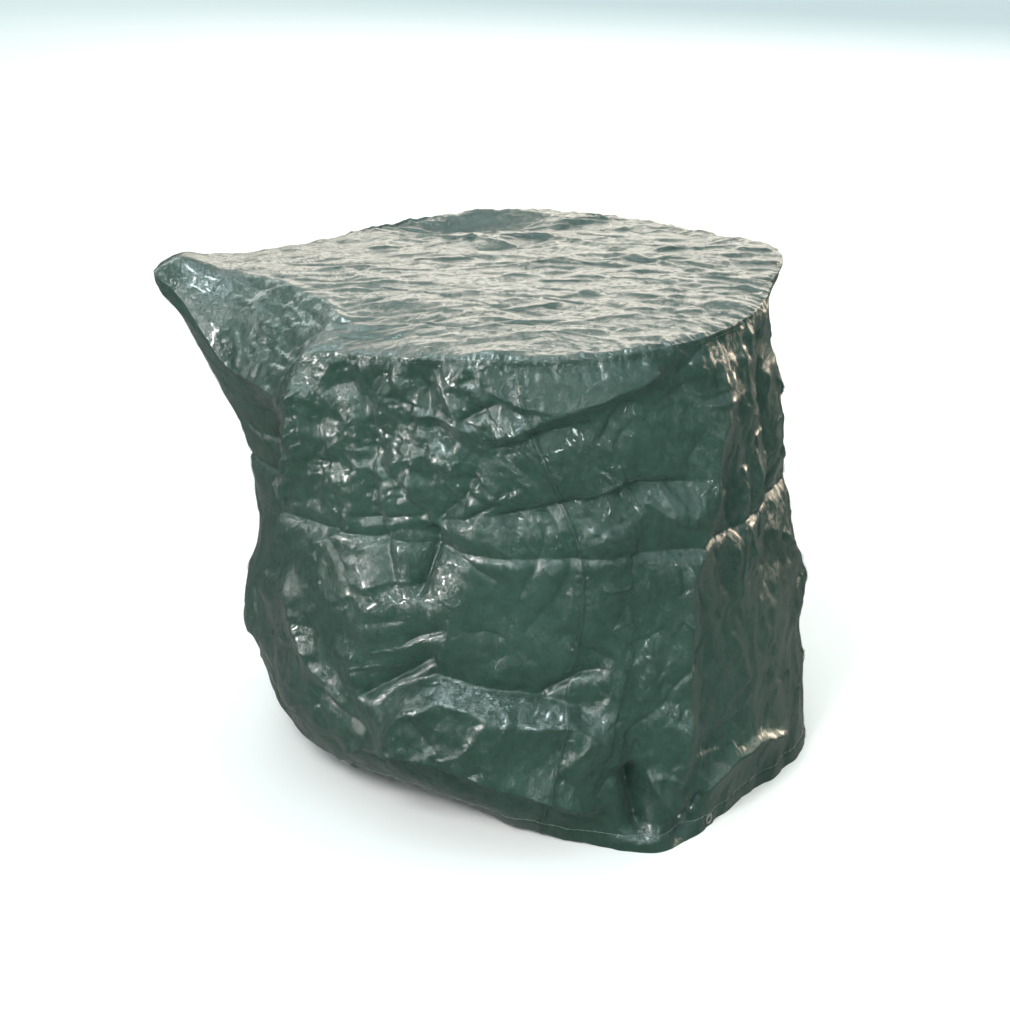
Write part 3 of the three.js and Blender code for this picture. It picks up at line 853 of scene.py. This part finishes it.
# ---------------------------------------------------------------- cloth pieces
def cloth_piece(name, chosen, material, sink=None):
    """Piece made of the chosen faces of the net, with the flat cloth's own place of each point as its UV."""
    used, corners = np.unique(faces[chosen], return_inverse=True)
    corners = corners.reshape(-1, 3)
    places_here = points[used] if sink is None else points[used] - normals[used] * sink[used][:, None]
    piece = mesh_object(name, places_here, corners)
    piece.data.shade_smooth()
    piece.data.materials.append(material)
    centre = np.mod(np.median(angles[used] - SEAM_ANGLES[0]), 360) + SEAM_ANGLES[0]
    across = np.radians(turn_from(angles[used], centre)) * (RIM_RADIUS + HEM_RADIUS) / 2
    on_wall = np.stack([across, RIM_Z * (2 - places[used])], -1)
    spread = flat[used] * RIM_RADIUS if places[used].max() <= 1 else on_wall
    layer = piece.data.uv_layers.new(name="sheet")
    layer.data.foreach_set("uv", spread[corners.ravel()].astype(np.float32).ravel())
    return piece


def stitches(name, line, lifts, thread):
    """Row of thread runs along a line of points, each over two steps, dipping into the cloth at its ends."""
    sides = 6
    turns = np.arange(sides) * 2 * math.pi / sides
    rows = []
    quads = []
    for start in range(0, len(line) - 2, 2):
        ends = line[start:start + 3]
        way = ends[2] - ends[0]
        length = np.linalg.norm(way)
        if length < 1e-6 or length > 0.02:
            continue
        way /= length
        lift = lifts[start + 1]
        side = np.cross(way, lift)
        for share, thick, rise in THREAD_RUN:
            centre = ends[1] + way * (share * length) + lift * rise
            rows.append(centre + thick * (np.outer(np.cos(turns), side) + np.outer(np.sin(turns), lift)))
        first = (len(rows) - len(THREAD_RUN)) * sides
        for ring in range(len(THREAD_RUN) - 1):
            for index in range(sides):
                after = (index + 1) % sides
                here = first + ring * sides
                quads.append((here + index, here + after, here + sides + after, here + sides + index))
    piece = mesh_object(name, np.concatenate(rows), np.array(quads))
    piece.data.shade_smooth()
    piece.data.materials.append(thread)
    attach(piece, "root")
    return piece


# Along one run of thread: share of its length from the middle, thickness and height over the cloth
THREAD_RUN = [(-0.44, 0.00020, -0.0004), (-0.38, 0.00048, 0.0002), (0.0, 0.00055, 0.0005),
              (0.38, 0.00048, 0.0002), (0.44, 0.00020, -0.0004)]

normals = point_normals(points, faces)
whole = ~hole_faces


def row_of(place, panel):
    """Points of the net on one row of one panel, in order round the cover."""
    turn = np.mod(angles - SEAM_ANGLES[panel] + 1e-4, 360)
    row = np.nonzero((np.abs(places - place) < 1e-5) & (turn <= 90.001))[0]
    return row[np.argsort(turn[row])]


def seam_points(number):
    """Points of the net on one side seam, from the rim down."""
    row = np.nonzero((np.abs(turn_from(angles, SEAM_ANGLES[number])) < 1e-3) & (places >= 1))[0]
    return row[np.argsort(places[row])]


TAPE_DEPTH = 0.0015      # how far behind the cloth its tapes lie
HEM_DEPTH = 0.0016       # and the folded inner layer of the hem
SIDE_STITCH = 0.0045     # from a side seam to each of its rows of stitching

above_hem = (2 - places) * RIM_Z
hem_sink = HEM_DEPTH * smooth_step(above_hem / 0.004)
in_hem = (above_hem[faces] < HEM_STITCH + 1e-5).all(axis=1)
in_rim_tape = (face_place >= 1 - 1e-6).all(axis=1) & (face_place <= 1 + 1 / ROWS + 1e-6).all(axis=1)
tape_sink = np.full(len(points), TAPE_DEPTH)
top = cloth_piece("top_cloth", ~on_skirt, cover_cloth)
rim_tape = cloth_piece("rim_tape", in_rim_tape, inner_cloth, tape_sink)
for number, name in enumerate(PANELS):
    mine = on_skirt & (face_panel == number)
    skirt = cloth_piece("skirt_cloth_" + name, mine & whole, cover_cloth)
    hem = cloth_piece("hem_" + name, mine & in_hem & whole, inner_cloth, hem_sink)
    hem_row = row_of(2 - HEM_STITCH / RIM_Z, number)
    rim_row = row_of(1 + RIM_STITCH / RIM_Z, number)
    hem_thread = stitches("hem_stitching_" + name, points[hem_row], normals[hem_row], pale_thread)
    rim_thread = stitches("rim_stitching_" + name, points[rim_row], normals[rim_row], green_thread)
    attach(skirt, "root")
    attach(hem, "root")
    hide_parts("skirt_" + name)
    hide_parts("hem_fold_" + name)
for number, side in enumerate(SIDES):
    column = seam_points(number)
    tape_faces = on_skirt & (np.abs(turn_from(flat_angle(centres), SEAM_ANGLES[number])) < 360 / COLUMNS / 2)
    tape = cloth_piece("side_tape_" + side, tape_faces, inner_cloth, tape_sink)
    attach(tape, "root")
    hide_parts("side_seam_tape_" + side)
    way = np.gradient(points[column], axis=0)
    way /= np.linalg.norm(way, axis=1)[:, None]
    across = np.cross(way, normals[column])
    for hand, label in ((-1, "a"), (1, "b")):
        line = points[column] + across * hand * SIDE_STITCH
        stitches(f"side_stitching_{side}_{label}", line, normals[column], green_thread)
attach(top, "root")
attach(rim_tape, "root")
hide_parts("top_panel")
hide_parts("rim_seam_tape")

# ---------------------------------------------------------------- studio
FLOOR_HALF = 60          # far enough that its edge stays out of low views
floor_corners = np.array([(-1, -1, 0), (1, -1, 0), (1, 1, 0), (-1, 1, 0)]) * FLOOR_HALF
floor = mesh_object("studio_floor", floor_corners, np.array([(0, 1, 2, 3)]))
floor_look = Nodes("studio_floor")
floor_look.shader.inputs["Base Color"].default_value = (0.9, 0.9, 0.9, 1)
floor_look.shader.inputs["Roughness"].default_value = 0.9
floor_look.shader.inputs["Specular IOR Level"].default_value = 0.1
floor.data.materials.append(floor_look.material)
floor.visible_glossy = False

SENSOR = 36
IMAGE_SIZE = 1010        # of the render
FOCAL_LENGTH = 3500      # in the same units as the image size
CAMERA_PLACE = Vector((AXIS_X - 0.047, AXIS_Y - 6.56, 3.070))
CAMERA_TARGET = Vector((AXIS_X - 0.047, AXIS_Y - 0.06, 0.523))
camera_data = bpy.data.cameras.new("camera")
camera_data.sensor_width = SENSOR
camera_data.lens = FOCAL_LENGTH / IMAGE_SIZE * SENSOR
camera = bpy.data.objects.new("camera", camera_data)
camera.location = CAMERA_PLACE
camera.rotation_euler = (CAMERA_TARGET - CAMERA_PLACE).to_track_quat("-Z", "Y").to_euler()
bpy.context.scene.collection.objects.link(camera)
bpy.context.scene.camera = camera


def area_light(name, place, target, size, power, color, lights_evenly=True, in_gloss=True):
    data = bpy.data.lights.new(name, "AREA")
    data.shape = "RECTANGLE"
    data.size, data.size_y = size
    data.energy = power
    data.color = color
    light = bpy.data.objects.new(name, data)
    light.location = place
    light.rotation_euler = (Vector(target) - Vector(place)).to_track_quat("-Z", "Y").to_euler()
    light.visible_diffuse = lights_evenly
    light.visible_glossy = in_gloss
    bpy.context.scene.collection.objects.link(light)


# key and front_soft light the cloth but stay out of its gloss, and back_left and the glints are
# seen only in the gloss
area_light("key", (-1.5, -4.3, 3.9), (0, 0, 0.7), (1.4, 1.4), 215, (1, 0.98, 0.94), in_gloss=False)
area_light("front_soft", (0.2, -5.2, 2.2), (0, 0, 0.5), (1.4, 1.4), 115, (0.97, 1, 0.98), in_gloss=False)
area_light("back_sky", (1.0, 5.4, 2.7), (0, 0, 0.8), (5.0, 2.9), 150, (1, 0.92, 0.80))
area_light("right_wall", (3.8, 3.0, 1.5), (0.3, 0, 0.7), (0.8, 1.6), 125, (1, 0.83, 0.64))
for name, place, target, size, power, color in (
        ("back_left", (-3.3, 3.0, 4.0), (-0.4, 0, 0.9), (2.8, 2.2), 150, (0.94, 1, 0.95)),
        ("glint_low", (-4.3, -2.8, 1.7), (-0.2, 0, 0.8), (0.40, 0.60), 190, (1, 0.97, 0.96)),
        ("glint_middle", (-4.0, -2.9, 2.7), (-0.2, 0, 0.8), (0.4, 0.5), 130, (1, 0.97, 0.96)),
        ("glint_front", (-1.9, -4.3, 3.6), (0, 0, 0.7), (0.4, 0.4), 55, (0.95, 1, 1)),
        ("glint_high", (-0.9, -2.6, 5.0), (0, -0.4, 0.4), (0.5, 0.5), 75, (0.90, 0.98, 1)),
        ("glint_overhead", (-0.5, -0.7, 5.6), (0, -0.5, 0.3), (1.2, 0.8), 260, (0.84, 0.97, 1)),
        ("glint_right", (2.2, -4.6, 2.2), (0, 0, 0.7), (0.4, 0.4), 40, (0.92, 1, 1))):
    area_light(name, place, target, size, power, color, lights_evenly=False)

# Sky seen round the cover, from straight down to straight up: ground, horizon and sky
SKY = [(0.30, (0.20, 0.21, 0.20)), (0.49, (0.07, 0.075, 0.07)), (0.53, (0.07, 0.075, 0.07)),
       (0.86, (0.82, 1.04, 1.08))]
world = bpy.data.worlds.new("studio")
bpy.context.scene.world = world
world.use_nodes = True
sky = world.node_tree.nodes
links = world.node_tree.links
coordinates = sky.new("ShaderNodeTexCoord")
parts = sky.new("ShaderNodeSeparateXYZ")
spread = sky.new("ShaderNodeMapRange")
spread.inputs["From Min"].default_value = -1
shades = sky.new("ShaderNodeValToRGB")
links.new(coordinates.outputs["Generated"], parts.inputs[0])
links.new(parts.outputs["Z"], spread.inputs["Value"])
links.new(spread.outputs[0], shades.inputs["Fac"])
links.new(shades.outputs["Color"], sky["Background"].inputs["Color"])
shades.color_ramp.elements.new(0.5)
shades.color_ramp.elements.new(0.5)
for element, (position, color) in zip(shades.color_ramp.elements, SKY):
    element.position = position
    element.color = (*color, 1)
sky["Background"].inputs["Strength"].default_value = 0.9
bpy.context.scene.view_settings.view_transform = "Standard"
